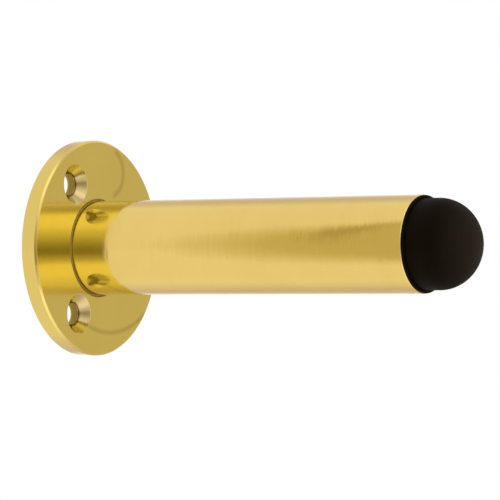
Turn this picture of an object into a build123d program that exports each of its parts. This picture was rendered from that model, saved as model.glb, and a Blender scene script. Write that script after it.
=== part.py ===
from build123d import *
import math
import os

# Wall door stop: a turned brass rose, a brass barrel seated on it and a domed rubber buffer.
# Sizes are in millimetres and degrees. The wall is the plane y = 0, the stop projects along -Y, +Z is up.

# Rose, the round plate that is screwed to the wall
rose_diameter = 45.0
rose_thickness = 3.7
rim_bevel = 0.4
back_edge_chamfer = 0.25

# Wall screw holes in the rose
screw_hole_count = 3
screw_circle_diameter = 31.0
screw_hole_diameter = 4.5
screw_sink_diameter = 8.4
screw_sink_angle = 90.0

# Barrel, a solid bar that stands in a shallow seat in the rose
barrel_diameter = 19.6
barrel_length = 78.7
barrel_foot_chamfer = 0.3
barrel_end_radius = 0.2
seat_depth = 0.8
seat_gap = 0.45

# Fixing screw, which holds the barrel to the rose from behind
thread_diameter = 5.0
fixing_screw_length = 16.0
fixing_screw_tip_chamfer = 0.6
head_diameter = 9.2
head_angle = 90.0
head_rim = 0.2
head_sunk = 0.2
slot_width = 1.2
slot_depth = 1.1
head_clearance = 0.05
shank_clearance = 0.25

# Tapped hole for the fixing screw in the barrel's foot
thread_clearance = 0.05
tapped_hole_margin = 3.0
tapped_hole_mouth = 1.0
drill_point_angle = 118.0

# Buffer, a rubber dome whose barbed stem is pressed into the barrel's front bore
buffer_skirt = 3.4
dome_flattening = 0.6
buffer_rim_inset = 0.1
buffer_rim_overhang = 0.6
buffer_rim_thickness = 0.5
buffer_rim_radius = 0.2
stem_diameter = 7.4
stem_length = 12.0
stem_tip_chamfer = 0.8
barb_count = 3
barb_depth = 0.5
barb_width = 1.6
barb_start = 2.2
barb_clearance = 0.05
bore_margin = 1.0
bore_mouth = 0.4

# Places along the axis, counted from the wall
seat_floor = rose_thickness - seat_depth
head_cone_start = head_sunk + head_rim
fixing_screw_end = head_sunk + fixing_screw_length
tapped_hole_end = fixing_screw_end + tapped_hole_margin
barrel_end = seat_floor + barrel_length
stem_end = barrel_end - stem_length
bore_end = stem_end - bore_margin
rim_end = barrel_end + buffer_rim_thickness
skirt_end = barrel_end + buffer_skirt

# Sizes that follow from the ones above
rose_radius = rose_diameter / 2
barrel_radius = barrel_diameter / 2
seat_radius = barrel_radius + seat_gap
thread_radius = thread_diameter / 2
tapped_radius = thread_radius + thread_clearance
head_radius = head_diameter / 2
head_slope = math.tan(math.radians(head_angle / 2))
head_seat_radius = head_radius + head_clearance + head_cone_start * head_slope
buffer_diameter = barrel_diameter - 2 * (buffer_rim_inset + buffer_rim_overhang)
buffer_radius = buffer_diameter / 2
rim_radius = buffer_radius + buffer_rim_overhang
dome_height = buffer_radius - dome_flattening
stem_radius = stem_diameter / 2
barb_radius = stem_radius + barb_depth
bore_radius = barb_radius + barb_clearance


def at(radius, projection):
    """A point of a turned section, by its distance from the axis and from the wall."""
    return (radius, -projection)


def drill_point(radius):
    """Depth of the conical end that a drill leaves in a blind hole of the given radius."""
    return radius / math.tan(math.radians(drill_point_angle / 2))


def barbs():
    """Outline of the stem's barbs, from the buffer's foot towards the stem's tip."""
    pitch = (stem_length - stem_tip_chamfer - barb_start) / barb_count
    outline = []
    for index in range(barb_count):
        shoulder = barrel_end - barb_start - index * pitch
        outline.append(at(stem_radius, shoulder))
        outline.append(at(barb_radius, shoulder))
        outline.append(at(stem_radius, shoulder - barb_width))
    return outline


def make_rose():
    """Round plate with a bevelled rim, a seat for the barrel and countersunk holes from both sides."""
    front = Plane(origin=(0, -rose_thickness, 0), x_dir=(1, 0, 0), z_dir=(0, -1, 0))
    back = Plane(origin=(0, 0, 0), x_dir=(1, 0, 0), z_dir=(0, 1, 0))
    with BuildPart() as rose:
        with BuildSketch():
            with BuildLine():
                Polyline(
                    at(0, 0),
                    at(rose_radius - back_edge_chamfer, 0),
                    at(rose_radius, back_edge_chamfer),
                    at(rose_radius, rose_thickness - rim_bevel),
                    at(rose_radius - rim_bevel, rose_thickness),
                    at(seat_radius, rose_thickness),
                    at(seat_radius, seat_floor),
                    at(0, seat_floor),
                    close=True,
                )
            make_face()
        revolve(axis=Axis.Y)
        with Locations(front):
            with PolarLocations(screw_circle_diameter / 2, screw_hole_count):
                CounterSinkHole(
                    radius=screw_hole_diameter / 2,
                    counter_sink_radius=screw_sink_diameter / 2,
                    depth=rose_thickness,
                    counter_sink_angle=screw_sink_angle,
                )
        with Locations(back):
            CounterSinkHole(
                radius=thread_radius + shank_clearance,
                counter_sink_radius=head_seat_radius,
                depth=rose_thickness,
                counter_sink_angle=head_angle,
            )
    return rose.part


def make_barrel():
    """Turned bar with a tapped blind hole in its foot and a blind bore for the buffer's stem."""
    with BuildPart() as barrel:
        with BuildSketch():
            with BuildLine():
                outside = Polyline(
                    at(0, tapped_hole_end + drill_point(tapped_radius)),
                    at(tapped_radius, tapped_hole_end),
                    at(tapped_radius, seat_floor + tapped_hole_mouth),
                    at(tapped_radius + tapped_hole_mouth, seat_floor),
                    at(barrel_radius - barrel_foot_chamfer, seat_floor),
                    at(barrel_radius, seat_floor + barrel_foot_chamfer),
                    at(barrel_radius, barrel_end - barrel_end_radius),
                )
                edge = JernArc(outside @ 1, (0, -1), barrel_end_radius, -90)
                Polyline(
                    edge @ 1,
                    at(bore_radius + bore_mouth, barrel_end),
                    at(bore_radius, barrel_end - bore_mouth),
                    at(bore_radius, bore_end),
                    at(0, bore_end - drill_point(bore_radius)),
                    outside @ 0,
                )
            make_face()
        revolve(axis=Axis.Y)
    return barrel.part


def make_fixing_screw():
    """Slotted countersunk machine screw, its head a little below the rose's back."""
    head_cone_end = head_cone_start + (head_radius - thread_radius) / head_slope
    with BuildPart() as screw:
        with BuildSketch():
            with BuildLine():
                Polyline(
                    at(0, head_sunk),
                    at(head_radius, head_sunk),
                    at(head_radius, head_cone_start),
                    at(thread_radius, head_cone_end),
                    at(thread_radius, fixing_screw_end - fixing_screw_tip_chamfer),
                    at(thread_radius - fixing_screw_tip_chamfer, fixing_screw_end),
                    at(0, fixing_screw_end),
                    close=True,
                )
            make_face()
        revolve(axis=Axis.Y)
        with Locations((0, -head_sunk, 0)):
            Box(
                head_diameter,
                slot_depth,
                slot_width,
                align=(Align.CENTER, Align.MAX, Align.CENTER),
                mode=Mode.SUBTRACT,
            )
    return screw.part


def make_buffer():
    """Domed buffer with a thin rim that seats on the barrel's end, and a barbed stem behind it."""
    with BuildPart() as buffer:
        with BuildSketch():
            with BuildLine():
                dome = EllipticalCenterArc(
                    at(0, skirt_end), buffer_radius, dome_height, start_angle=270, arc_size=90
                )
                ledge = Polyline(
                    dome @ 1,
                    at(buffer_radius, rim_end),
                    at(rim_radius - buffer_rim_radius, rim_end),
                )
                rim = JernArc(ledge @ 1, (1, 0), buffer_rim_radius, 90)
                Polyline(
                    rim @ 1,
                    at(rim_radius, barrel_end),
                    at(stem_radius, barrel_end),
                    *barbs(),
                    at(stem_radius, stem_end + stem_tip_chamfer),
                    at(stem_radius - stem_tip_chamfer, stem_end),
                    at(0, stem_end),
                    dome @ 0,
                )
            make_face()
        revolve(axis=Axis.Y)
    return buffer.part


os.makedirs("parts", exist_ok=True)
export_step(make_rose(), "parts/rose.step")
export_step(make_barrel(), "parts/barrel.step")
export_step(make_fixing_screw(), "parts/fixing_screw.step")
export_step(make_buffer(), "parts/buffer.step")
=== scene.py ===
"""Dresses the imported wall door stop: a brass rose and barrel, a rubber buffer and a steel fixing screw.

Every piece is turned from its half section with Blender's own operators, in metres and in the frame of the
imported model: the wall is the plane y = 0, the stop projects along -Y and +Z is up.
"""

import logging
import math
from abc import ABC, abstractmethod
from collections.abc import Iterable
from dataclasses import dataclass, field
from enum import Enum
from functools import cached_property

import bpy
from mathutils import Matrix, Quaternion, Vector


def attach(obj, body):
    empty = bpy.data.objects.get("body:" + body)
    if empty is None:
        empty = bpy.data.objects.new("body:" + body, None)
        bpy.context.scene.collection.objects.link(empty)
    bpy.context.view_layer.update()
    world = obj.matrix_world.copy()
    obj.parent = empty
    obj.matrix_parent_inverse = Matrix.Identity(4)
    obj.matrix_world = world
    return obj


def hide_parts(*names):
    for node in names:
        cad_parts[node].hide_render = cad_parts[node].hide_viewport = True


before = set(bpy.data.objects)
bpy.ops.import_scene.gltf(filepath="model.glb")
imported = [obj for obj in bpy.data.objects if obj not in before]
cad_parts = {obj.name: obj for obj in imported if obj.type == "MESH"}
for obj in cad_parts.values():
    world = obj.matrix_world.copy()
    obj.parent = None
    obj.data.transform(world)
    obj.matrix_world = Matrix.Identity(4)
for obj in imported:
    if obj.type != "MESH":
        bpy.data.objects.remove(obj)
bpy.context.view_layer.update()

log = logging.getLogger("door_stop")

MM = 0.001
BODY = "root"
HOLE_COUNT = 3
ROSE_THICKNESS = 3.7 * MM
UP = (0.0, 0.0, 1.0)
WHITE = (1.0, 1.0, 1.0)
RISING = (0.0, 1.0)
FALLING = (1.0, 0.0)

Point = tuple[float, float]
Span = tuple[float, float]
Place = tuple[float, float, float]
Colour = tuple[float, float, float]
Piece = bpy.types.Object
Socket = bpy.types.NodeSocket
Outputs = bpy.types.NodeOutputs


class Slot(Enum):
    """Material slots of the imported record."""

    ROSE = "rose_brass"
    BARREL = "barrel_brass"
    SCREW = "screw_steel"
    BUFFER = "buffer_rubber"


@dataclass
class Section:
    """Half section of a turned piece, with each point's distances from the axis and from the wall."""

    points: list[Point] = field(default_factory=list)
    closed: bool = False

    def to(self, radius: float, projection: float, runs: int = 1) -> "Section":
        """Draws a straight line to a point.

        Args:
            radius: Distance of the point from the axis.
            projection: Distance of the point from the wall.
            runs: Number of equal lengths that the line is divided into.

        Returns:
            The section itself, for the next line.
        """
        if not self.points:
            self.points.append((radius, projection))
            return self
        start_radius, start_projection = self.points[-1]
        for run in range(1, runs + 1):
            share = run / runs
            self.points.append(
                (
                    start_radius + (radius - start_radius) * share,
                    start_projection + (projection - start_projection) * share,
                )
            )
        return self

    def arc(self, centre: Point, radii: Point, start: float, end: float, steps: int) -> "Section":
        """Draws part of an ellipse, beginning with its first point.

        Args:
            centre: Centre of the ellipse.
            radii: Half widths of the ellipse across the axis and along it.
            start: Angle of the first point in degrees. 0 points away from the axis, 90 away from the wall.
            end: Angle of the last point in degrees.
            steps: Number of straight lines that the arc is drawn with.

        Returns:
            The section itself, for the next line.
        """
        for step in range(steps + 1):
            angle = math.radians(start + (end - start) * step / steps)
            self.points.append(
                (centre[0] + radii[0] * math.cos(angle), centre[1] + radii[1] * math.sin(angle))
            )
        return self


@dataclass(frozen=True)
class WorkedEdge:
    """A turned edge that is rounded a little, by its place on the section."""

    radius: float
    projection: float
    width: float
    segments: int = 6


class Bench:
    """Blender's operators as hand tools, each used on one piece at a time."""

    WELD = 1e-7
    SHADE_ANGLE = math.radians(10.0)
    PLACE_TOLERANCE = 2e-6
    SQUARE_TO_AXIS = 0.99999

    @staticmethod
    def clear() -> None:
        """Deselects everything, so that the next operator acts on one piece alone."""
        bpy.ops.object.select_all(action="DESELECT")

    @staticmethod
    def hold(piece: Piece) -> None:
        """Selects one piece and makes it the active one.

        Args:
            piece: The piece to work on.
        """
        Bench.clear()
        piece.select_set(True)
        bpy.context.view_layer.objects.active = piece

    @staticmethod
    def turn(name: str, section: Section, steps: int) -> Piece:
        """Draws a half section from a single point and spins it about the axis.

        Args:
            name: Name of the new piece.
            section: Half section to turn.
            steps: Number of facets in a full turn.

        Returns:
            The turned piece, closed and with its faces outwards.
        """
        Bench.clear()
        bpy.ops.mesh.primitive_plane_add(size=MM)
        piece = bpy.context.object
        piece.name = name
        piece.data.name = name
        bpy.ops.object.mode_set(mode="EDIT")
        bpy.ops.mesh.select_mode(type="VERT")
        bpy.ops.mesh.select_all(action="SELECT")
        bpy.ops.mesh.merge(type="CENTER")
        corners = [Vector((radius, -projection, 0.0)) for radius, projection in section.points]
        if section.closed:
            corners.append(corners[0])
        bpy.ops.transform.translate(value=corners[0])
        for last, corner in zip(corners, corners[1:]):
            bpy.ops.mesh.extrude_region_move(TRANSFORM_OT_translate={"value": corner - last})
        bpy.ops.mesh.select_all(action="SELECT")
        bpy.ops.mesh.spin(steps=steps, angle=math.tau, center=(0, 0, 0), axis=(0, 1, 0))
        bpy.ops.mesh.select_all(action="SELECT")
        bpy.ops.mesh.remove_doubles(threshold=Bench.WELD)
        bpy.ops.mesh.normals_make_consistent(inside=False)
        bpy.ops.object.mode_set(mode="OBJECT")
        return piece

    @staticmethod
    def round_edges(piece: Piece, edges: Iterable[WorkedEdge]) -> None:
        """Bevels whole rings of a turned piece.

        Args:
            piece: The turned piece.
            edges: The rings to round, each with its own width.
        """
        for edge in edges:
            Bench.hold(piece)
            mesh = piece.data
            on_ring = [
                abs(math.hypot(point.co.x, point.co.z) - edge.radius) < Bench.PLACE_TOLERANCE
                and abs(point.co.y + edge.projection) < Bench.PLACE_TOLERANCE
                for point in mesh.vertices
            ]
            ring_lines = [all(on_ring[end] for end in line.vertices) for line in mesh.edges]
            mesh.polygons.foreach_set("select", [False] * len(mesh.polygons))
            mesh.vertices.foreach_set("select", on_ring)
            mesh.edges.foreach_set("select", ring_lines)
            bpy.ops.object.mode_set(mode="EDIT")
            bpy.ops.mesh.select_mode(type="EDGE")
            bpy.ops.mesh.bevel(offset=edge.width, segments=edge.segments, profile=0.5, affect="EDGES")
            bpy.ops.object.mode_set(mode="OBJECT")

    @staticmethod
    def cut(piece: Piece, cutter: Piece) -> None:
        """Cuts one piece with another and throws the cutter away.

        Args:
            piece: The piece to cut.
            cutter: The shape that is taken out of it.
        """
        Bench.hold(piece)
        bpy.ops.object.modifier_add(type="BOOLEAN")
        modifier = piece.modifiers[-1]
        modifier.operation = "DIFFERENCE"
        modifier.solver = "EXACT"
        modifier.object = cutter
        bpy.ops.object.modifier_apply(modifier=modifier.name)
        bpy.data.objects.remove(cutter)

    @staticmethod
    def shade(piece: Piece) -> None:
        """Smooths the turned faces and keeps the faces across the axis exactly flat.

        Args:
            piece: The finished shape.
        """
        Bench.hold(piece)
        bpy.ops.object.shade_smooth_by_angle(angle=Bench.SHADE_ANGLE)
        mesh = piece.data
        across = [abs(face.normal.y) > Bench.SQUARE_TO_AXIS for face in mesh.polygons]
        mesh.vertices.foreach_set("select", [False] * len(mesh.vertices))
        mesh.edges.foreach_set("select", [False] * len(mesh.edges))
        mesh.polygons.foreach_set("select", across)
        bpy.ops.object.mode_set(mode="EDIT")
        bpy.ops.mesh.select_mode(type="FACE")
        bpy.ops.mesh.faces_shade_flat()
        bpy.ops.object.mode_set(mode="OBJECT")


class NodeBoard:
    """Adds and wires the nodes of one node tree."""

    MEASURES = ("LENGTH", "DISTANCE", "DOT_PRODUCT")

    def __init__(self, tree: bpy.types.NodeTree) -> None:
        """Keeps the tree that the nodes go into."""
        self.tree = tree

    @cached_property
    def given(self) -> Outputs:
        """Inputs of a node group, as sockets inside it."""
        return self.add("NodeGroupInput").outputs

    @cached_property
    def place(self) -> Socket:
        """Object coordinates, which a node group is given by its material."""
        if self.tree.is_embedded_data:
            return self.add("ShaderNodeTexCoord").outputs["Object"]
        return self.given["Vector"]

    @classmethod
    def fresh(cls, owner: bpy.types.Material | bpy.types.World) -> "NodeBoard":
        """Clears the nodes of a new material or world.

        Args:
            owner: The material or world.

        Returns:
            A board for its nodes.
        """
        owner.use_nodes = True
        owner.node_tree.nodes.clear()
        return cls(owner.node_tree)

    def add(
        self, kind: str, inputs: dict[str | int, object] | None = None, **settings: object
    ) -> bpy.types.Node:
        """Adds one node.

        Args:
            kind: Blender's name of the node type.
            inputs: Values or sockets for its inputs, by name or number.
            settings: Properties of the node itself.

        Returns:
            The new node.
        """
        node = self.tree.nodes.new(kind)
        for name, value in settings.items():
            setattr(node, name, value)
        for name, value in (inputs or {}).items():
            self.feed(node.inputs[name], value)
        return node

    def feed(self, socket: Socket, value: object) -> None:
        """Links a socket to another one, or sets its plain value.

        Args:
            socket: The input to feed.
            value: A socket, a number, a vector or a colour without its alpha.
        """
        if isinstance(value, Socket):
            self.tree.links.new(value, socket)
        elif socket.type == "RGBA":
            socket.default_value = (*value, 1.0)
        else:
            socket.default_value = value

    def first(self, kind: str, inputs: dict[str | int, object] | None = None, **settings: object) -> Socket:
        """Adds one node and gives its first output."""
        return self.add(kind, inputs, **settings).outputs[0]

    def math(self, operation: str, first: object, second: object = 0.0) -> Socket:
        """Adds a Math node and gives its result."""
        return self.first("ShaderNodeMath", {0: first, 1: second}, operation=operation)

    def times(self, first: object, second: object) -> Socket:
        """Multiplies two values."""
        return self.math("MULTIPLY", first, second)

    def plus(self, value: object, mask: object, weight: float) -> Socket:
        """Adds a weighted mask to a value."""
        return self.math("ADD", value, self.times(mask, weight))

    def vector(self, operation: str, first: object, second: object = (0.0, 0.0, 0.0)) -> Socket:
        """Adds a Vector Math node and gives its vector, or its value where it measures something."""
        node = self.add("ShaderNodeVectorMath", {0: first, 1: second}, operation=operation)
        return node.outputs["Value" if operation in self.MEASURES else "Vector"]

    def across(self) -> Socket:
        """Gives the part of the place that lies across the stop's axis."""
        return self.vector("MULTIPLY", self.place, (1.0, 0.0, 1.0))

    def along(self) -> Socket:
        """Gives the part of the place that lies along the stop's axis, below 0 in front of the wall."""
        return self.add("ShaderNodeSeparateXYZ", {"Vector": self.place}).outputs["Y"]

    def noise(
        self, place: Socket, scale: object, detail: float, roughness: float = 0.5, warp: float = 0.0
    ) -> Socket:
        """Adds a Noise Texture node and gives its value, from 0 to 1."""
        names = ("Vector", "Scale", "Detail", "Roughness", "Distortion")
        return self.first("ShaderNodeTexNoise", dict(zip(names, (place, scale, detail, roughness, warp))))

    def span(self, value: object, ends: Span, results: Span = RISING) -> Socket:
        """Maps the values between two ends to those between two results, and no further."""
        names = ("Value", "From Min", "From Max", "To Min", "To Max")
        return self.first("ShaderNodeMapRange", dict(zip(names, (value, *ends, *results))), clamp=True)

    def tint(self, share: object, first: object, second: object, way: str = "MIX") -> Socket:
        """Mixes a share of a second colour into a first one, in one of Blender's ways."""
        inputs = {0: share, 6: first, 7: second}
        return self.add("ShaderNodeMix", inputs, data_type="RGBA", blend_type=way).outputs[2]

    def blend(self, share: object, first: Socket, second: Socket) -> Socket:
        """Mixes two shaders by a share of the second."""
        return self.first("ShaderNodeMixShader", {0: share, 1: first, 2: second})

    def bump(self, height: Socket, depth: float, strength: float = 1.0) -> Socket:
        """Makes a normal from a height."""
        return self.first("ShaderNodeBump", {"Strength": strength, "Distance": depth, "Height": height})

    def show(self, surface: Socket) -> None:
        """Shows a shader as the material's surface."""
        self.add("ShaderNodeOutputMaterial", {"Surface": surface})


class SurfaceEffect(ABC):
    """A shader node group on Object coordinates, built once and placed in each material that uses it."""

    name: str = ""
    values: tuple[str, ...] = ()
    outputs: tuple[str, ...] = ("Mask",)

    @classmethod
    def group(cls) -> bpy.types.NodeTree:
        """Finds the group, or builds it the first time.

        Returns:
            The group's node tree.
        """
        found = bpy.data.node_groups.get(cls.name)
        if found is not None:
            return found
        tree = bpy.data.node_groups.new(cls.name, "ShaderNodeTree")
        tree.interface.new_socket("Vector", in_out="INPUT", socket_type="NodeSocketVector")
        for value in cls.values:
            tree.interface.new_socket(value, in_out="INPUT", socket_type="NodeSocketFloat")
        for output in cls.outputs:
            tree.interface.new_socket(output, in_out="OUTPUT", socket_type="NodeSocketFloat")
        board = NodeBoard(tree)
        board.add("NodeGroupOutput", cls.wire(board))
        return tree

    @classmethod
    @abstractmethod
    def wire(cls, board: NodeBoard) -> dict[str, Socket]:
        """Wires the inside of the group.

        Args:
            board: Board of the group's own tree.

        Returns:
            The socket for each of the group's outputs, by name.
        """

    @classmethod
    def on(cls, board: NodeBoard, **values: float) -> Outputs:
        """Places the group in a material with its own values and gives the group's outputs."""
        return board.add("ShaderNodeGroup", {"Vector": board.place, **values}, node_tree=cls.group()).outputs


class TurningMarks(SurfaceEffect):
    """Fine lines round the axis, left by the lathe and the polishing mop."""

    name = "turning_marks"
    values = ("Lines", "Run")
    outputs = ("Height", "Mask")
    deeper: Span = (0.56, 0.74)

    @classmethod
    def wire(cls, board: NodeBoard) -> dict[str, Socket]:
        """Stretches noise round the axis.

        Args:
            board: Board of the group, given lines per metre and how quickly a line changes on its way round.

        Returns:
            Height of the lines, and a mask of the deeper ones.
        """
        across = board.across()
        reach = board.math("ADD", board.vector("LENGTH", across), board.along())
        turn = board.vector("MULTIPLY", board.vector("NORMALIZE", across), board.given["Run"])
        heading = board.add("ShaderNodeSeparateXYZ", {"Vector": turn}).outputs
        stretched = board.first(
            "ShaderNodeCombineXYZ",
            {"X": board.times(reach, board.given["Lines"]), "Y": heading["X"], "Z": heading["Z"]},
        )
        noise = board.noise(stretched, scale=1.0, detail=4.0, roughness=0.65)
        return {"Height": noise, "Mask": board.span(noise, cls.deeper)}


class PolishHaze(SurfaceEffect):
    """Soft patches where the surface is a little duller, from handling and uneven polishing."""

    name = "polish_haze"
    values = ("Patches",)
    outputs = ("Haze",)
    dulled: Span = (0.32, 0.70)

    @classmethod
    def wire(cls, board: NodeBoard) -> dict[str, Socket]:
        """Spreads broad noise over the piece.

        Args:
            board: Board of the group, given patches per metre.

        Returns:
            How dull the surface is, from 0 to 1.
        """
        noise = board.noise(board.place, board.given["Patches"], detail=3.0, roughness=0.55, warp=0.4)
        return {"Haze": board.span(noise, cls.dulled)}


class HairScratches(SurfaceEffect):
    """Sparse hairline scratches in two headings."""

    name = "hair_scratches"
    values = ("Spread",)
    headings: tuple[tuple[Place, Place], ...] = (
        ((0.3, 0.5, 0.2), (1400.0, 1400.0, 70.0)),
        ((0.9, -0.4, 1.1), (90.0, 1700.0, 1700.0)),
    )
    line_width = 0.02
    patches_per_metre = 160.0
    bare = 0.75

    @classmethod
    def wire(cls, board: NodeBoard) -> dict[str, Socket]:
        """Draws thin contour lines of stretched noise and keeps them in a few patches.

        Args:
            board: Board of the group, given the share of the surface that has scratches.

        Returns:
            A mask that is 1 on a scratch.
        """
        lines = 0.0
        for turn, size in cls.headings:
            stretched = board.first(
                "ShaderNodeMapping", {"Vector": board.place, "Rotation": turn, "Scale": size}
            )
            noise = board.noise(stretched, scale=1.0, detail=1.0)
            off = board.math("ABSOLUTE", board.math("SUBTRACT", noise, 0.5))
            lines = board.math("MAXIMUM", board.span(off, (0.0, cls.line_width), FALLING), lines)
        patches = board.noise(board.place, cls.patches_per_metre, detail=2.0)
        floor = board.math("SUBTRACT", cls.bare, board.times(board.given["Spread"], 0.5))
        return {"Mask": board.times(lines, board.math("GREATER_THAN", patches, floor))}


class DrilledBores(SurfaceEffect):
    """Drilled and countersunk holes round the axis: rough unpolished bores, and painted shade on the walls,
    cones and cone edges.

    The ends of bore, edge and sink are counted in bore radii from a hole's axis.
    """

    name = "drilled_bores"
    values = ("Circle", "Bore")
    outputs = ("Bore", "EdgeShade", "Sink", "Rings")
    bore_end: Span = (1.005, 1.03)
    edge_shade_end: Span = (1.08, 1.18)
    sink_end: Span = (1.80, 1.90)
    cone_side: Span = (-1.0 * MM, -0.5 * MM)
    ring_lines = 4.0

    @classmethod
    def wire(cls, board: NodeBoard) -> dict[str, Socket]:
        """Measures how near a point is to the closest hole's axis.

        Args:
            board: Board of the group, given the radius of the circle of holes and of a bore.

        Returns:
            Masks of the bores' walls, of the ring of painted shade where the cones begin and of the cones
            themselves, and the height of the rings that the countersink leaves in a cone.
        """
        across = board.across()
        nearest = 1.0
        for index in range(HOLE_COUNT):
            turn = math.tau * index / HOLE_COUNT
            centre = board.vector("MULTIPLY", (math.cos(turn), 0.0, math.sin(turn)), board.given["Circle"])
            nearest = board.math("MINIMUM", board.vector("DISTANCE", across, centre), nearest)
        ratio = board.math("DIVIDE", nearest, board.given["Bore"])
        rings = board.first(
            "ShaderNodeTexNoise",
            {"W": board.times(ratio, cls.ring_lines), "Scale": 1.0, "Detail": 2.0},
            noise_dimensions="1D",
        )
        in_front = board.span(board.along(), cls.cone_side, FALLING)
        past_bore = board.times(in_front, board.span(ratio, cls.bore_end))
        sink = board.times(past_bore, board.span(ratio, cls.sink_end, FALLING))
        return {
            "Bore": board.span(ratio, cls.bore_end, FALLING),
            "EdgeShade": board.times(past_bore, board.span(ratio, cls.edge_shade_end, FALLING)),
            "Sink": sink,
            "Rings": board.times(rings, sink),
        }


class SeamResidue(SurfaceEffect):
    """Dried polish in the narrow groove between rose and barrel."""

    name = "seam_residue"
    values = ("Radius", "Front")
    depth = 0.9 * MM
    edge = 0.1 * MM

    @classmethod
    def wire(cls, board: NodeBoard) -> dict[str, Socket]:
        """Marks a short length of the axis, out to a radius.

        Args:
            board: Board of the group, given the groove's radius and its mouth's distance from the wall.

        Returns:
            A mask that is 1 in the groove.
        """
        radius = board.vector("LENGTH", board.across())
        depth = board.math("ADD", board.along(), board.given["Front"])
        inside = board.span(board.math("SUBTRACT", radius, board.given["Radius"]), (0.0, cls.edge), FALLING)
        below_mouth = board.span(depth, (0.0, cls.edge))
        above_floor = board.span(depth, (cls.depth, cls.depth + cls.edge), FALLING)
        return {"Mask": board.times(inside, board.times(below_mouth, above_floor))}


@dataclass(frozen=True)
class CurvedLine:
    """Part of a circle on the rose's face, by its middle heading and its reach to either side in degrees."""

    centre: Point
    radius: float
    heading: float
    reach: float
    width: float


class PaintedReflectionArcs(SurfaceEffect):
    """Faint dark curved lines drawn on the rose's face: a painted reflection of curved edges round the stop.
    """

    name = "painted_reflection_arcs"
    values = ("Front",)
    lines: tuple[CurvedLine, ...] = (
        CurvedLine((4.9 * MM, 15.7 * MM), 4.9 * MM, heading=-6.0, reach=66.0, width=0.95 * MM),
        CurvedLine((4.6 * MM, 4.85 * MM), 22.8 * MM, heading=-86.0, reach=24.0, width=0.75 * MM),
    )
    end_fade = 14.0
    depth = 0.1 * MM

    @classmethod
    def wire(cls, board: NodeBoard) -> dict[str, Socket]:
        """Measures how near a point of the face is to each line.

        Args:
            board: Board of the group, given the face's distance from the wall.

        Returns:
            A mask that is 1 in the middle of a line.
        """
        across = board.across()
        drawn = 0.0
        for line in cls.lines:
            off = board.vector("SUBTRACT", across, (line.centre[0], 0.0, line.centre[1]))
            beside = board.math("ABSOLUTE", board.math("SUBTRACT", board.vector("LENGTH", off), line.radius))
            turn = math.radians(line.heading)
            ahead = board.vector("DOT_PRODUCT", off, (math.cos(turn), 0.0, math.sin(turn)))
            faded_out = line.radius * math.cos(math.radians(line.reach + cls.end_fade))
            full = line.radius * math.cos(math.radians(line.reach))
            stroke = board.times(
                board.span(beside, (0.0, line.width), FALLING), board.span(ahead, (faded_out, full))
            )
            drawn = board.math("MAXIMUM", stroke, drawn)
        depth = board.math("ADD", board.along(), board.given["Front"])
        return {"Mask": board.times(drawn, board.span(depth, (0.0, cls.depth), FALLING))}


@dataclass
class Coat:
    """Colour, roughness and height of a surface while its nodes are wired."""

    board: NodeBoard
    colour: Socket
    roughness: Socket
    height: Socket

    def lay(self, mask: Socket, colour: Colour, roughness: float = 0.0) -> None:
        """Lays another finish over a part of the surface.

        Args:
            mask: The part, as a mask.
            colour: Colour of the part.
            roughness: How much rougher the part is.
        """
        self.colour = self.board.tint(mask, self.colour, colour)
        if roughness > 0.0:
            self.roughness = self.board.plus(self.roughness, mask, roughness)


class Finish(ABC):
    """A finish that a piece can be dressed in."""

    def material(self, name: str) -> bpy.types.Material:
        """Makes the finish as a material.

        Args:
            name: Name of the material.

        Returns:
            The new material.
        """
        made = bpy.data.materials.new(name)
        board = NodeBoard.fresh(made)
        board.show(board.first("ShaderNodeBsdfPrincipled", self.surface(board)))
        return made

    @abstractmethod
    def surface(self, board: NodeBoard) -> dict[str, object]:
        """Wires the finish.

        Args:
            board: Board of the material.

        Returns:
            Values and sockets for the Principled shader.
        """


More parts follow.
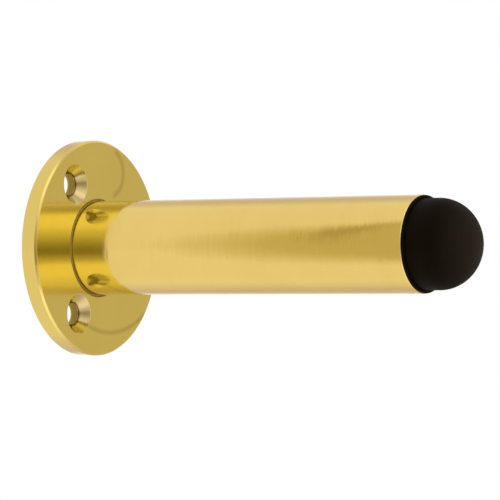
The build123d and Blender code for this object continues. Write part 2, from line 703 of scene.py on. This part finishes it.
@dataclass(frozen=True)
class Brass(Finish):
    """Polished brass, turned and buffed round its axis."""

    colour: Colour
    deep_colour: Colour
    polished: float
    hazed: float
    anisotropy: float
    mark_lines: float
    mark_run: float
    mark_depth: float
    band_lines: float
    band_share: float
    scratch_spread: float
    ripple_depth: float = 0.0
    band_run: float = 0.3
    haze_patches: float = 70.0
    haze_share: float = 0.25
    mark_share: float = 0.12
    scratch_depth: float = 1.5
    scratch_roughness: float = 0.10
    back_side: Span = (-0.06 * MM, -0.02 * MM)
    back_roughness: float = 0.34
    back_grain: float = 6.0
    bore_circle: float = 0.0
    bore_radius: float = 0.0
    # Painted shade: the bore walls, the ring where each cone begins and the cones are given darker brass
    # colours.
    bore_dull_and_shaded_colour: Colour = (0.44, 0.35, 0.13)
    bore_roughness: float = 0.30
    bore_edge_shade_colour: Colour = (0.14, 0.07, 0.015)
    sink_painted_shade_colour: Colour = (0.60, 0.45, 0.19)
    sink_roughness: float = 0.07
    ring_depth: float = 60.0
    # Painted reflection: the colour of the dark arcs drawn on the rose's face.
    painted_arc_colour: Colour = (0.55, 0.40, 0.11)
    seam_radius: float = 10.35 * MM
    seam_colour: Colour = (0.67, 0.53, 0.12)
    seam_roughness: float = 0.55
    # Painted reflection: brass seen in the polish of another piece is brightened, most in green.
    painted_reflection_tint: Colour = (1.0, 1.20, 1.06)
    # Painted reflection: the cones take this lighter colour only where the barrel mirrors them.
    sink_painted_reflection_colour: Colour = (0.74, 0.56, 0.17)

    def surface(self, board: NodeBoard) -> dict[str, object]:
        """Wires polish, turning marks, scratches, holes and the seam.

        Args:
            board: Board of the material.

        Returns:
            Values and sockets for the Principled shader.
        """
        haze = PolishHaze.on(board, Patches=self.haze_patches)["Haze"]
        marks = TurningMarks.on(board, Lines=self.mark_lines, Run=self.mark_run)
        bands = TurningMarks.on(board, Lines=self.band_lines, Run=self.band_run)
        scratches = HairScratches.on(board, Spread=self.scratch_spread)["Mask"]
        seam = SeamResidue.on(board, Radius=self.seam_radius, Front=ROSE_THICKNESS)["Mask"]
        in_gloss = board.add("ShaderNodeLightPath").outputs["Is Glossy Ray"]
        back = board.span(board.along(), self.back_side)

        deep = board.times(bands["Height"], self.band_share)
        deep = board.plus(deep, haze, self.haze_share)
        deep = board.plus(deep, marks["Mask"], self.mark_share)
        roughness = board.span(haze, RISING, (self.polished, self.hazed))
        roughness = board.plus(roughness, scratches, self.scratch_roughness)
        roughness = board.plus(roughness, back, self.back_roughness)
        height = board.plus(marks["Height"], scratches, -self.scratch_depth)
        height = board.plus(height, bands["Height"], self.ripple_depth)

        coat = Coat(board, board.tint(deep, self.colour, self.deep_colour), roughness, height)
        if self.bore_radius > 0.0:
            self.drill(coat, in_gloss)
        # Painted reflection: where one brass piece mirrors another, its colour is brightened, most in green.
        coat.colour = board.tint(in_gloss, coat.colour, self.painted_reflection_tint, "MULTIPLY")
        coat.lay(seam, self.seam_colour, self.seam_roughness)
        grain = board.times(coat.height, board.span(back, RISING, (1.0, self.back_grain)))
        return {
            "Base Color": coat.colour,
            "Metallic": board.math("SUBTRACT", 1.0, seam),
            "Roughness": coat.roughness,
            "Anisotropic": self.anisotropy,
            "Normal": board.bump(grain, self.mark_depth),
            "Tangent": board.first("ShaderNodeTangent", direction_type="RADIAL", axis="Y"),
        }

    def drill(self, coat: Coat, in_gloss: Socket) -> None:
        """Adds what only the drilled plate has: the holes' rough bores, ring marks and painted shade, and
        the painted reflection arcs on its face.

        Args:
            coat: The surface so far.
            in_gloss: 1 where the piece is seen as an image in polished metal.
        """
        board = coat.board
        bores = DrilledBores.on(board, Circle=self.bore_circle, Bore=self.bore_radius)
        painted_arcs = PaintedReflectionArcs.on(board, Front=ROSE_THICKNESS)["Mask"]
        # Painted shade: darker bore walls and cones, and a near-black ring where each cone begins.
        coat.lay(bores["Bore"], self.bore_dull_and_shaded_colour, self.bore_roughness)
        coat.lay(bores["Sink"], self.sink_painted_shade_colour, self.sink_roughness)
        # Painted reflection: a lighter colour for the cones in the barrel's polish only.
        coat.lay(board.times(bores["Sink"], in_gloss), self.sink_painted_reflection_colour)
        coat.lay(bores["EdgeShade"], self.bore_edge_shade_colour)
        # Painted reflection: faint dark arcs on the rose's face.
        coat.lay(painted_arcs, self.painted_arc_colour)
        coat.height = board.plus(coat.height, bores["Rings"], self.ring_depth)


@dataclass(frozen=True)
class Rubber(Finish):
    """Moulded black rubber with a fine grain, paler at its tip: partly wear where doors strike it, partly a
    painted highlight.
    """

    colour: Colour = (0.0046, 0.0026, 0.0008)
    dusty_colour: Colour = (0.0100, 0.0066, 0.0034)
    smooth: float = 0.56
    dull: float = 0.72
    gloss: float = 0.04
    gloss_tint: Colour = (1.0, 0.80, 0.60)
    haze_patches: float = 180.0
    scuff_spread: float = 0.35
    scuff_share: float = 0.6
    grain_size: float = 0.16 * MM
    grain_depth: float = 0.010 * MM
    grain_strength: float = 0.6
    dusty_grain: Span = (0.40, 0.70)
    dust_least: float = 0.25
    # Paler tip: wear from door strikes together with a painted highlight on the dome's end.
    worn_and_highlight_colour: Colour = (0.0260, 0.0190, 0.0125)
    worn_and_highlight_reach: Span = (87.5 * MM, 93.5 * MM)
    worn_and_highlight_power: float = 1.5
    worn_and_highlight_grain: Span = (0.25, 0.60)
    worn_and_highlight_least: float = 0.55

    def surface(self, board: NodeBoard) -> dict[str, object]:
        """Wires grain, dust, scuffs and the paler tip, which is wear and painted highlight together.

        Args:
            board: Board of the material.

        Returns:
            Values and sockets for the Principled shader.
        """
        haze = PolishHaze.on(board, Patches=self.haze_patches)["Haze"]
        scuffs = HairScratches.on(board, Spread=self.scuff_spread)["Mask"]
        grain = board.noise(board.place, 1.0 / self.grain_size, detail=2.0, roughness=0.6)
        dust = board.times(haze, board.span(grain, self.dusty_grain, (self.dust_least, 1.0)))
        dust = board.math("MAXIMUM", dust, board.times(scuffs, self.scuff_share))
        # Paler tip: wear from door strikes together with a painted highlight on the dome's end.
        reach = board.times(board.along(), -1.0)
        worn_and_highlight = board.math("POWER", board.span(reach, self.worn_and_highlight_reach), self.worn_and_highlight_power)
        worn_and_highlight = board.times(worn_and_highlight, board.span(grain, self.worn_and_highlight_grain, (self.worn_and_highlight_least, 1.0)))
        colour = board.tint(dust, self.colour, self.dusty_colour)
        return {
            "Base Color": board.tint(worn_and_highlight, colour, self.worn_and_highlight_colour),
            "Roughness": board.span(haze, RISING, (self.smooth, self.dull)),
            "Specular IOR Level": self.gloss,
            "Specular Tint": self.gloss_tint,
            "Normal": board.bump(grain, self.grain_depth, self.grain_strength),
        }


@dataclass(frozen=True)
class PlatedSteel(Finish):
    """Zinc plated steel of a machine screw."""

    colour: Colour = (0.62, 0.60, 0.55)
    dull_colour: Colour = (0.44, 0.42, 0.37)
    bright: float = 0.26
    dull: float = 0.46
    haze_patches: float = 420.0
    mark_lines: float = 9000.0
    mark_run: float = 1.2
    mark_share: float = 0.5
    mark_depth: float = 0.002 * MM
    scratch_spread: float = 0.6
    scratch_roughness: float = 0.08

    def surface(self, board: NodeBoard) -> dict[str, object]:
        """Wires dull patches, turning marks and scratches.

        Args:
            board: Board of the material.

        Returns:
            Values and sockets for the Principled shader.
        """
        haze = PolishHaze.on(board, Patches=self.haze_patches)["Haze"]
        marks = TurningMarks.on(board, Lines=self.mark_lines, Run=self.mark_run)
        scratches = HairScratches.on(board, Spread=self.scratch_spread)["Mask"]
        dulled = board.math("MAXIMUM", haze, board.times(marks["Mask"], self.mark_share))
        roughness = board.span(dulled, RISING, (self.bright, self.dull))
        return {
            "Base Color": board.tint(dulled, self.colour, self.dull_colour),
            "Metallic": 1.0,
            "Roughness": board.plus(roughness, scratches, self.scratch_roughness),
            "Normal": board.bump(marks["Height"], self.mark_depth),
        }


@dataclass
class TurnedPiece(ABC):
    """A piece that is turned about the stop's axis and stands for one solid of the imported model."""

    name: str
    node: str
    slot: Slot
    finish: Finish
    steps: int = 192

    @abstractmethod
    def section(self) -> Section:
        """Draws the half section that the piece is turned from."""

    def worked_edges(self) -> list[WorkedEdge]:
        """Lists the rings that are rounded after turning."""
        return []

    def mill(self, piece: Piece) -> None:
        """Cuts what a lathe can't, in pieces that have it."""

    def make(self) -> Piece:
        """Builds, dresses and hands over the piece.

        Returns:
            The finished piece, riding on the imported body.
        """
        piece = Bench.turn(self.name, self.section(), self.steps)
        Bench.round_edges(piece, self.worked_edges())
        self.mill(piece)
        Bench.shade(piece)
        piece.data.materials.clear()
        piece.data.materials.append(self.finish.material(self.slot.value))
        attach(piece, BODY)
        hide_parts(self.node)
        return piece


@dataclass
class Rose(TurnedPiece):
    """The round plate that is screwed to the wall, with its countersunk holes and the barrel's seat."""

    steps: int = 240
    diameter: float = 45.0 * MM
    thickness: float = ROSE_THICKNESS
    rim_bevel: float = 0.4 * MM
    back_edge_chamfer: float = 0.25 * MM
    edge_round: float = 0.07 * MM
    seat_diameter: float = 20.5 * MM
    seat_depth: float = 0.8 * MM
    seat_edge_round: float = 0.20 * MM
    shank_hole_diameter: float = 5.5 * MM
    head_sink_diameter: float = 10.1 * MM
    hole_circle_diameter: float = 31.0 * MM
    hole_diameter: float = 4.5 * MM
    sink_diameter: float = 8.4 * MM
    sink_angle: float = 90.0
    sink_lip_round: float = 0.25 * MM
    sink_lip_end: float = 14.0
    sink_steps: int = 96
    cutter_spare: float = 1.0 * MM
    cutter_step: float = 0.1 * MM

    def section(self) -> Section:
        """Draws the plate with its seat in front and the fixing screw's sink behind.

        Returns:
            The closed half section.
        """
        radius = self.diameter / 2
        seat_floor = self.thickness - self.seat_depth
        shank_radius = self.shank_hole_diameter / 2
        sink_radius = self.head_sink_diameter / 2
        plate = Section(closed=True)
        plate.to(sink_radius, 0.0)
        plate.to(radius - self.back_edge_chamfer, 0.0)
        plate.to(radius, self.back_edge_chamfer)
        plate.to(radius, self.back_edge_chamfer + 2 * self.edge_round)
        plate.to(radius, self.thickness - self.rim_bevel - 2 * self.edge_round)
        plate.to(radius, self.thickness - self.rim_bevel)
        plate.to(radius - self.rim_bevel, self.thickness)
        plate.to(self.seat_diameter / 2, self.thickness)
        plate.to(self.seat_diameter / 2, seat_floor)
        plate.to(shank_radius, seat_floor)
        plate.to(shank_radius, sink_radius - shank_radius)
        return plate

    def worked_edges(self) -> list[WorkedEdge]:
        """Lists the rim's and the seat's edges.

        Returns:
            The rings to round.
        """
        radius = self.diameter / 2
        return [
            WorkedEdge(radius, self.thickness - self.rim_bevel, self.edge_round),
            WorkedEdge(radius - self.rim_bevel, self.thickness, self.edge_round),
            WorkedEdge(radius, self.back_edge_chamfer, self.edge_round),
            WorkedEdge(self.seat_diameter / 2, self.thickness, self.seat_edge_round, segments=10),
        ]

    def mill(self, piece: Piece) -> None:
        """Cuts the wall screw holes, from one cutter that is copied round the axis.

        Args:
            piece: The turned plate.
        """
        Bench.hold(self.sink_cutter())
        bpy.ops.transform.translate(value=(self.hole_circle_diameter / 2, 0.0, 0.0))
        bpy.ops.object.transform_apply(location=True, rotation=True, scale=True)
        cutters = [bpy.context.object]
        for _ in range(1, HOLE_COUNT):
            bpy.ops.object.duplicate()
            bpy.ops.transform.rotate(value=math.tau / HOLE_COUNT, orient_axis="Y", center_override=(0, 0, 0))
            bpy.ops.object.transform_apply(location=True, rotation=True, scale=True)
            cutters.append(bpy.context.object)
        for cutter in cutters:
            Bench.cut(piece, cutter)

    def sink_cutter(self) -> Piece:
        """Turns the shape of one countersunk hole, whose softened lip runs out into the face.

        Returns:
            The cutter, on the stop's axis.
        """
        lip = self.sink_lip_round
        step = self.cutter_step
        top = self.thickness + self.cutter_spare
        hole_radius = self.hole_diameter / 2
        half_angle = self.sink_angle / 2
        cone_depth = (self.sink_diameter / 2 - hole_radius) / math.tan(math.radians(half_angle))
        lip_offset = lip * math.tan(math.radians((90.0 - half_angle) / 2))
        lip_centre = (self.sink_diameter / 2 + lip_offset, self.thickness - lip)
        tool = Section()
        tool.to(0.0, -self.cutter_spare)
        tool.to(hole_radius, -self.cutter_spare)
        tool.to(hole_radius, self.thickness - cone_depth - step)
        tool.to(hole_radius, self.thickness - cone_depth)
        tool.arc(lip_centre, (lip, lip), start=180.0 - half_angle, end=90.0 + self.sink_lip_end, steps=5)
        last_radius, last_projection = tool.points[-1]
        tool.to(last_radius + step, last_projection + step * math.tan(math.radians(self.sink_lip_end)))
        tool.to(last_radius + step, top)
        tool.to(0.0, top)
        return Bench.turn("sink_cutter", tool, self.sink_steps)


@dataclass
class Barrel(TurnedPiece):
    """The polished bar that stands in the rose's seat."""

    diameter: float = 19.6 * MM
    foot: float = 2.9 * MM
    length: float = 78.7 * MM
    foot_chamfer: float = 0.3 * MM
    end_round: float = 0.2 * MM
    edge_hold: float = 0.1 * MM
    tapped_diameter: float = 5.1 * MM
    tapped_mouth: float = 1.0 * MM
    tapped_end: float = 19.2 * MM
    bore_diameter: float = 8.5 * MM
    bore_mouth: float = 0.4 * MM
    bore_end: float = 68.6 * MM
    drill_point_angle: float = 118.0

    def section(self) -> Section:
        """Draws the bar with its tapped hole and its front bore.

        Returns:
            The half section, from the axis to the axis.
        """
        radius = self.diameter / 2
        tapped = self.tapped_diameter / 2
        bore = self.bore_diameter / 2
        end = self.foot + self.length
        slope = math.tan(math.radians(self.drill_point_angle / 2))
        bar = Section()
        bar.to(0.0, self.tapped_end + tapped / slope)
        bar.to(tapped, self.tapped_end)
        bar.to(tapped, self.foot + self.tapped_mouth)
        bar.to(tapped + self.tapped_mouth, self.foot)
        bar.to(radius - self.foot_chamfer, self.foot)
        bar.to(radius, self.foot + self.foot_chamfer)
        bar.to(radius, self.foot + self.foot_chamfer + self.edge_hold)
        bar.to(radius, end - self.end_round - self.edge_hold, runs=12)
        bar.to(radius, end)
        bar.to(bore + self.bore_mouth, end)
        bar.to(bore, end - self.bore_mouth)
        bar.to(bore, self.bore_end)
        bar.to(0.0, self.bore_end - bore / slope)
        return bar

    def worked_edges(self) -> list[WorkedEdge]:
        """Lists the bar's rounded front edge."""
        return [WorkedEdge(self.diameter / 2, self.foot + self.length, self.end_round, segments=14)]


@dataclass
class FixingScrew(TurnedPiece):
    """The slotted machine screw that holds the barrel to the rose from behind."""

    steps: int = 128
    thread_diameter: float = 5.0 * MM
    length: float = 16.0 * MM
    tip_chamfer: float = 0.6 * MM
    head_diameter: float = 9.2 * MM
    head_rim: float = 0.2 * MM
    head_sunk: float = 0.2 * MM
    head_edge_round: float = 0.06 * MM
    slot_width: float = 1.2 * MM
    slot_depth: float = 1.1 * MM
    saw_spare: float = 1.0 * MM

    def section(self) -> Section:
        """Draws the head and the shank.

        Returns:
            The half section, from the axis to the axis.
        """
        head = self.head_diameter / 2
        shank = self.thread_diameter / 2
        cone_start = self.head_sunk + self.head_rim
        end = self.head_sunk + self.length
        screw = Section()
        screw.to(0.0, self.head_sunk)
        screw.to(head, self.head_sunk)
        screw.to(head, cone_start)
        screw.to(shank, cone_start + head - shank)
        screw.to(shank, end - self.tip_chamfer, runs=8)
        screw.to(shank - self.tip_chamfer, end)
        screw.to(0.0, end)
        return screw

    def worked_edges(self) -> list[WorkedEdge]:
        """Lists the head's outer edge."""
        return [WorkedEdge(self.head_diameter / 2, self.head_sunk, self.head_edge_round, segments=10)]

    def mill(self, piece: Piece) -> None:
        """Saws the driver slot across the head.

        Args:
            piece: The turned screw.
        """
        Bench.clear()
        slot_floor = self.head_sunk + self.slot_depth
        middle = (self.saw_spare - slot_floor) / 2
        bpy.ops.mesh.primitive_cube_add(size=1.0, location=(0.0, middle, 0.0))
        saw = bpy.context.object
        saw.scale = (2 * self.head_diameter, slot_floor + self.saw_spare, self.slot_width)
        bpy.ops.object.transform_apply(location=True, rotation=True, scale=True)
        Bench.cut(piece, saw)


@dataclass
class Buffer(TurnedPiece):
    """The domed rubber buffer, with a thin rim on the barrel's end and a barbed stem in its bore."""

    diameter: float = 18.2 * MM
    foot: float = 81.6 * MM
    rim_overhang: float = 0.6 * MM
    rim_thickness: float = 0.5 * MM
    rim_round: float = 0.2 * MM
    skirt: float = 3.4 * MM
    dome_height: float = 8.5 * MM
    dome_top_angle: float = 89.0
    dome_steps: int = 44
    stem_diameter: float = 7.4 * MM
    stem_length: float = 12.0 * MM
    stem_tip_chamfer: float = 0.8 * MM
    barb_count: int = 3
    barb_depth: float = 0.5 * MM
    barb_width: float = 1.6 * MM
    barb_start: float = 2.2 * MM

    def section(self) -> Section:
        """Draws the dome, the skirt, the rim and the stem with its barbs.

        Returns:
            The half section, from the axis to the axis.
        """
        radius = self.diameter / 2
        rim_radius = radius + self.rim_overhang
        rim_front = self.foot + self.rim_thickness
        skirt_end = self.foot + self.skirt
        stem = self.stem_diameter / 2
        stem_end = self.foot - self.stem_length
        pitch = (self.stem_length - self.stem_tip_chamfer - self.barb_start) / self.barb_count
        dome = Section()
        dome.to(0.0, skirt_end + self.dome_height)
        dome.arc((0.0, skirt_end), (radius, self.dome_height), self.dome_top_angle, 0.0, self.dome_steps)
        dome.to(radius, rim_front, runs=4)
        dome.to(rim_radius, rim_front)
        dome.to(rim_radius, self.foot)
        dome.to(stem, self.foot)
        for index in range(self.barb_count):
            shoulder = self.foot - self.barb_start - index * pitch
            dome.to(stem, shoulder)
            dome.to(stem + self.barb_depth, shoulder)
            dome.to(stem, shoulder - self.barb_width)
        dome.to(stem, stem_end + self.stem_tip_chamfer)
        dome.to(stem - self.stem_tip_chamfer, stem_end)
        dome.to(0.0, stem_end)
        return dome

    def worked_edges(self) -> list[WorkedEdge]:
        """Lists the rim's front edge."""
        rim_radius = self.diameter / 2 + self.rim_overhang
        return [WorkedEdge(rim_radius, self.foot + self.rim_thickness, self.rim_round, segments=10)]


class CardShape(Enum):
    """Outlines of the studio's cards."""

    OVAL = "oval"
    UPRIGHT = "upright"


@dataclass(frozen=True)
class Card:
    """A card of the studio with a faded edge, seen only as an image in the polished metal."""

    name: str
    centre: Place
    faces: Place
    size: Point
    colour: Colour
    fade: float = 0.1
    shape: CardShape = CardShape.OVAL
    tilt: float = 0.0

    def distance_out(self, board: NodeBoard) -> Socket:
        """Measures how far a point of the card lies from its middle.

        Args:
            board: Board of the card's material.

        Returns:
            The distance, which is 0.5 at the card's edge.
        """
        if self.shape is CardShape.OVAL:
            return board.vector("LENGTH", board.place)
        return board.math("ABSOLUTE", board.first("ShaderNodeSeparateXYZ", {"Vector": board.place}))

    def stand(self) -> Piece:
        """Stands the card where the metal mirrors it.

        Returns:
            The card as a stage object.
        """
        Bench.clear()
        lean = Quaternion(UP, math.radians(self.tilt))
        facing = (Vector(self.faces).to_track_quat("Z", "Y") @ lean).to_euler()
        bpy.ops.mesh.primitive_plane_add(size=1.0, location=self.centre, rotation=facing)
        sheet = bpy.context.object
        sheet.name = self.name
        sheet.scale = (*self.size, 1.0)
        paint = bpy.data.materials.new(self.name)
        board = NodeBoard.fresh(paint)
        cover = board.span(self.distance_out(board), (0.5 * (1.0 - self.fade), 0.5), FALLING)
        clear = board.first("ShaderNodeBsdfTransparent")
        glow = board.first("ShaderNodeEmission", {"Color": self.colour, "Strength": 1.0})
        board.show(board.blend(cover, clear, glow))
        sheet.data.materials.append(paint)
        sheet.visible_camera = False
        sheet.visible_diffuse = False
        sheet.visible_shadow = False
        return sheet


@dataclass
class Studio:
    """Pale floor, soft light and the camera at the photograph's viewing angle."""

    azimuth: float = -57.986
    elevation: float = 1.169
    roll: float = -1.364
    aim: Place = (-0.271 * MM, -41.21 * MM, -0.757 * MM)
    distance: float = 666.09 * MM
    lens: float = 235.92
    sensor: float = 36.0
    clip: Span = (0.01, 50.0)
    floor_height: float = -150.0 * MM
    floor_size: float = 8.0
    floor_colour: Colour = (0.92, 0.92, 0.92)
    floor_glow: float = 0.5
    floor_glow_reach: Span = (0.15, 0.60)
    floor_bounce: float = 1.03
    ambient: float = 0.75
    lamp_distance: float = 0.9
    lamp_size: float = 0.7
    lamp_azimuth: float = -30.0
    lamp_elevation: float = 62.0
    lamp_radiance: float = 0.3
    cards: list[Card] = field(default_factory=list)

    @staticmethod
    def heading(azimuth: float, elevation: float) -> Vector:
        """Gives a unit direction as seen from the stop.

        Args:
            azimuth: Angle round the upright axis in degrees, where 0 points along -Y.
            elevation: Angle above the horizon in degrees.

        Returns:
            The direction.
        """
        turn = math.radians(azimuth)
        rise = math.radians(elevation)
        return Vector((math.sin(turn) * math.cos(rise), -math.cos(turn) * math.cos(rise), math.sin(rise)))

    def set_camera(self) -> Piece:
        """Sets up the camera as the photograph has it.

        Returns:
            The scene's camera.
        """
        back = self.heading(self.azimuth, self.elevation)
        level_right = Vector(UP).cross(back).normalized()
        level_up = back.cross(level_right)
        tilt = math.radians(self.roll)
        right = level_right * math.cos(tilt) + level_up * math.sin(tilt)
        up = back.cross(right)
        pose = Matrix((right, up, back)).transposed()
        Bench.clear()
        bpy.ops.object.camera_add(
            location=Vector(self.aim) + back * self.distance, rotation=pose.to_euler()
        )
        camera = bpy.context.object
        camera.data.sensor_fit = "HORIZONTAL"
        camera.data.sensor_width = self.sensor
        camera.data.lens = self.lens
        camera.data.clip_start, camera.data.clip_end = self.clip
        bpy.context.scene.camera = camera
        return camera

    @staticmethod
    def seen_directly(board: NodeBoard) -> Socket:
        """Tells the rays that see a surface from those that only light it.

        Args:
            board: Board of the material or world.

        Returns:
            1 for rays from the camera and for its images in metal and glass, and 0 for lighting rays.
        """
        rays = board.add("ShaderNodeLightPath").outputs
        seen = board.math("MAXIMUM", rays["Is Camera Ray"], rays["Is Glossy Ray"])
        return board.math("MAXIMUM", seen, rays["Is Transmission Ray"])

    def light_world(self) -> bpy.types.World:
        """Makes the white surroundings and their soft light.

        Returns:
            The scene's world.
        """
        world = bpy.data.worlds.new("white_studio")
        bpy.context.scene.world = world
        board = NodeBoard.fresh(world)
        lighting = board.first("ShaderNodeBackground", {"Color": WHITE, "Strength": self.ambient})
        white = board.first("ShaderNodeBackground", {"Color": WHITE, "Strength": 1.0})
        mixed = board.blend(self.seen_directly(board), lighting, white)
        board.add("ShaderNodeOutputWorld", {"Surface": mixed})
        return world

    def lay_floor(self) -> Piece:
        """Lays a white floor well below the stop, which keeps a soft shadow under it.

        Returns:
            The floor.
        """
        Bench.clear()
        bpy.ops.mesh.primitive_plane_add(size=self.floor_size, location=(0.0, 0.0, self.floor_height))
        floor = bpy.context.object
        floor.name = "studio_floor"
        paint = bpy.data.materials.new("studio_floor")
        board = NodeBoard.fresh(paint)
        out = board.vector("LENGTH", board.place)
        glow_share = board.span(out, self.floor_glow_reach, (self.floor_glow, 1.0))
        matt = board.first("ShaderNodeBsdfDiffuse", {"Color": self.floor_colour})
        glow = board.first("ShaderNodeEmission", {"Color": WHITE, "Strength": 1.0})
        bounce = board.first("ShaderNodeEmission", {"Color": WHITE, "Strength": self.floor_bounce})
        in_gloss = board.add("ShaderNodeLightPath").outputs["Is Glossy Ray"]
        seen = board.blend(in_gloss, board.blend(glow_share, matt, glow), bounce)
        board.show(board.blend(self.seen_directly(board), matt, seen))
        floor.data.materials.append(paint)
        return floor

    def hang_lamp(self) -> Piece:
        """Hangs a large soft lamp in front of the stop and above it.

        Returns:
            The lamp.
        """
        Bench.clear()
        toward = self.heading(self.lamp_azimuth, self.lamp_elevation)
        centre = Vector(self.aim) + toward * self.lamp_distance
        facing = toward.to_track_quat("Z", "Y").to_euler()
        bpy.ops.object.light_add(type="AREA", location=centre, rotation=facing)
        lamp = bpy.context.object
        lamp.name = "front_softbox"
        lamp.data.shape = "SQUARE"
        lamp.data.size = self.lamp_size
        lamp.data.energy = self.lamp_radiance * math.pi * self.lamp_size * self.lamp_size
        return lamp

    def far_card(self, name: str, heading: Point, distance: float, **look: object) -> Card:
        """Makes a card that faces the stop from afar.

        Args:
            name: Name of the card.
            heading: Azimuth and elevation at which the stop sees the card, in degrees.
            distance: Distance of the card from the aim.
            look: The card's size, colour and fade.

        Returns:
            The card.
        """
        toward = self.heading(*heading)
        return Card(name, tuple(Vector(self.aim) + distance * toward), tuple(-toward), **look)

    def set_up(self) -> None:
        """Builds the whole studio."""
        bpy.context.scene.view_settings.view_transform = "Standard"
        self.set_camera()
        self.light_world()
        self.lay_floor()
        self.hang_lamp()
        for card in self.cards:
            card.stand()


ROSE_BRASS = Brass(
    colour=(0.755, 0.56, 0.158),
    deep_colour=(0.67, 0.48, 0.12),
    polished=0.10,
    hazed=0.15,
    anisotropy=0.0,
    mark_lines=5200.0,
    mark_run=1.6,
    mark_depth=0.00035 * MM,
    band_lines=160.0,
    band_share=0.30,
    scratch_spread=0.30,
    bore_circle=Rose.hole_circle_diameter / 2,
    bore_radius=Rose.hole_diameter / 2,
)
BARREL_BRASS = Brass(
    colour=(0.815, 0.60, 0.186),
    deep_colour=(0.715, 0.508, 0.14),
    polished=0.11,
    hazed=0.15,
    anisotropy=0.45,
    mark_lines=1300.0,
    mark_run=1.0,
    mark_depth=0.0012 * MM,
    band_lines=110.0,
    band_share=0.60,
    scratch_spread=0.22,
    ripple_depth=62.0,
)


def hole_reflection_discs() -> list[Card]:
    """Lists a glowing disc for each wall screw hole, a painted reflection: the barrel mirrors a dim brass
    disc and not what is behind the hole.

    Returns:
        The discs, just inside the holes' back ends.
    """
    reach = Rose.hole_circle_diameter / 2
    width = 0.98 * Rose.hole_diameter
    inset = 0.1 * MM
    cards = []
    for index in range(HOLE_COUNT):
        turn = math.tau * index / HOLE_COUNT
        centre = (reach * math.cos(turn), -inset, reach * math.sin(turn))
        # Painted reflection: each disc glows dim brass, standing in for the shaded inside of its hole.
        cards.append(
            Card(f"painted_hole_reflection_disc_{index}", centre, (0.0, -1.0, 0.0), (width, width), colour=(0.66, 0.54, 0.22))
        )
    return cards


def studio_cards(studio: Studio) -> list[Card]:
    """Lists the cards that the polished brass mirrors in the photograph.

    Args:
        studio: The studio, for its aim, its directions and its floor.

    Returns:
        Flags and reflectors far out and on the floor, cards beside barrel and rose, and the holes' painted
        reflection discs.
    """
    far = studio.far_card
    beside = Vector((0.844, -0.535, 0.0))
    from_left = tuple(beside)
    from_right = tuple(-beside)
    low = studio.floor_height + 3.0 * MM
    above_low = studio.floor_height + 4.0 * MM
    slant = -6.5
    return [
        far("camera_flag", (-49.0, -3.2), 0.70, size=(1.30, 0.87), colour=(0.30, 0.28, 0.18), fade=0.95),
        Card("floor_flag", (-0.52, -0.36, low), UP, size=(0.90, 0.90), colour=(0.54, 0.51, 0.40), fade=0.95),
        far("reflector_above", (-30.0, 60.0), 0.80, size=(1.10, 1.10), colour=(1.50, 1.52, 1.66), fade=0.9),
        Card(
            "reflector_below", (-0.13, -0.125, above_low), UP,
            size=(0.40, 0.24), colour=(1.48, 1.50, 1.66), fade=0.7,
        ),
        far("far_flag", (128.0, 33.0), 0.90, size=(0.85, 0.85), colour=(0.74, 0.69, 0.71), fade=0.75),
        far("side_flag", (35.0, 50.0), 0.80, size=(0.60, 0.60), colour=(0.70, 0.68, 0.64), fade=0.8),
        Card("floor_shade", (0.20, 0.0, low), UP, size=(0.40, 0.60), colour=(0.74, 0.68, 0.68), fade=0.5),
        Card(
            "barrel_shade", (-0.135, -0.002, 0.035), from_left,
            size=(0.11, 0.36), colour=(0.70, 0.67, 0.40), fade=0.55,
        ),
        Card(
            "doorway", (-0.1316, -0.0243, 0.0), from_left,
            size=(0.07, 0.60), colour=(0.70, 0.64, 0.44), fade=0.45, shape=CardShape.UPRIGHT, tilt=slant,
        ),
        Card(
            "doorpost", (-0.1116, 0.0044, 0.075), from_left,
            size=(0.014, 0.17), colour=(0.50, 0.43, 0.24), fade=0.8, tilt=slant,
        ),
        Card(
            "rose_card", (0.295, -0.19, 0.0), from_right,
            size=(0.36, 0.42), colour=(0.72, 0.69, 0.53), fade=0.3,
        ),
        *hole_reflection_discs(),
    ]


def main() -> None:
    """Builds the stop piece by piece, then the studio round it."""
    logging.basicConfig(level=logging.INFO, format="%(name)s: %(message)s")
    pieces = [
        Rose("wall_rose", "rose", Slot.ROSE, ROSE_BRASS),
        Barrel("stop_barrel", "barrel", Slot.BARREL, BARREL_BRASS),
        FixingScrew("back_screw", "fixing_screw", Slot.SCREW, PlatedSteel()),
        Buffer("rubber_buffer", "buffer", Slot.BUFFER, Rubber()),
    ]
    for piece in pieces:
        made = piece.make()
        log.info("%s: %d faces", made.name, len(made.data.polygons))
    studio = Studio()
    studio.cards = studio_cards(studio)
    studio.set_up()


if __name__ == "__main__":
    main()
